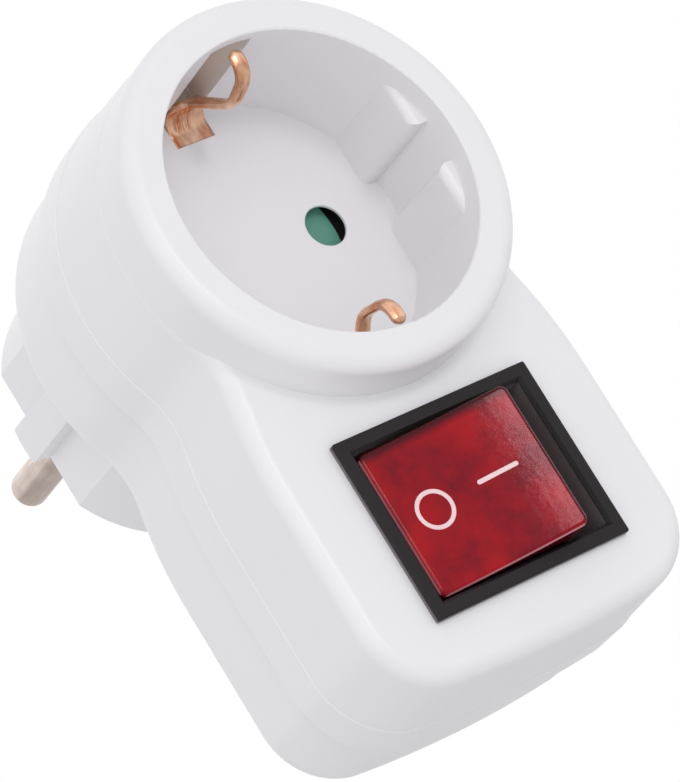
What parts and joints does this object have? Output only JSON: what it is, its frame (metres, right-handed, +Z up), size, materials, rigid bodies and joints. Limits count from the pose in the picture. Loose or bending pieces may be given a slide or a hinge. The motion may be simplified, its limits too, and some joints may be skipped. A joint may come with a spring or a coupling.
{
  "type": "switched adapter plug",
  "caption": "White wall plug adapter with a round socket well, sprung side earth clips, shuttered pin holes, two round plug pins and a lit red rocker switch in a black frame.",
  "frame": {"origin": "centre of the plug boss's flat face, the face that meets the wall socket's floor", "axes": "+Y along the plug pins into the wall, +Z up along the body towards the socket head, X across the width; the socket well opens along -Y"},
  "size_m": [0.0502, 0.0753, 0.084],
  "materials": {
    "white_plastic": "smooth moulded white housing plastic",
    "white_plastic_rear": "smooth moulded white housing plastic",
    "nickel_plate": "nickel-plated brass pins, satin",
    "earth_metal": "plain rolled brass strip",
    "clip_metal": "copper-coloured spring bronze, satin",
    "contact_brass": "plain rolled brass",
    "grey_plastic": "moulded insulating plastic, matt",
    "green_plastic": "moulded green plastic, satin",
    "black_plastic": "black switch housing plastic, satin",
    "dark_plastic": "dark moulded plastic, matt",
    "red_lens": "see-through red rocker plastic, polished",
    "spring_steel": "drawn spring wire",
    "screw_steel": "zinc-plated steel",
    "lamp_glass": "clear lamp glass",
    "resistor_body": "lacquered resistor body",
    "wire_brown": "brown wire insulation",
    "wire_blue": "blue wire insulation"
  },
  "bodies": {
    "housing": {"front_shell": "white_plastic", "rear_shell": "white_plastic_rear", "plug_pin_line": "nickel_plate", "plug_pin_neutral": "nickel_plate", "pin_retainer": "grey_plastic", "plug_earth_upper": "earth_metal", "plug_earth_lower": "earth_metal", "earth_bridge": "earth_metal", "earth_clip_upper": "clip_metal", "earth_clip_lower": "clip_metal", "socket_contact_line": "contact_brass", "socket_contact_neutral": "contact_brass", "contact_carrier": "grey_plastic", "shutter_cover": "dark_plastic", "shutter_spring": "spring_steel", "housing_screws": "screw_steel", "switch_housing": "black_plastic", "terminal_line_in": "contact_brass", "terminal_line_out": "contact_brass", "terminal_neutral_in": "contact_brass", "terminal_neutral_out": "contact_brass", "wire_line_in": "wire_brown", "wire_line_out": "wire_brown", "wire_neutral_in": "wire_blue", "wire_neutral_out": "wire_blue"},
    "rocker": {"rocker": "red_lens", "rocker_cradle": "dark_plastic", "plunger_line": "dark_plastic", "plunger_neutral": "dark_plastic", "plunger_spring_line": "spring_steel", "plunger_spring_neutral": "spring_steel", "neon_lamp": "lamp_glass", "lamp_resistor": "resistor_body"},
    "seesaw_line": {"seesaw_line": "contact_brass"},
    "seesaw_neutral": {"seesaw_neutral": "contact_brass"},
    "shutter": {"shutter": "green_plastic"}
  },
  "joints": [
    {"name": "rocker_tilt", "type": "hinge", "parent": "housing", "child": "rocker", "pos_m": [0, -0.0403, -0.0391], "axis": [0, 0, 1], "range_deg": [0, 20]},
    {"name": "seesaw_line_tilt", "type": "hinge", "parent": "housing", "child": "seesaw_line", "pos_m": [0, -0.03295, -0.0346], "axis": [0, 0, 1], "range_deg": [-14, 0]},
    {"name": "seesaw_neutral_tilt", "type": "hinge", "parent": "housing", "child": "seesaw_neutral", "pos_m": [0, -0.03295, -0.0436], "axis": [0, 0, 1], "range_deg": [-14, 0]},
    {"name": "shutter_turn", "type": "hinge", "parent": "housing", "child": "shutter", "pos_m": [0, -0.0358, 0], "axis": [0, -1, 0], "range_deg": [0, 42], "stiffness_Nm_per_rad": 0.0008}
  ],
  "couplings": [
    {"joint": "seesaw_line_tilt", "follows": "rocker_tilt", "ratio": -0.7},
    {"joint": "seesaw_neutral_tilt", "follows": "rocker_tilt", "ratio": -0.7}
  ]
}
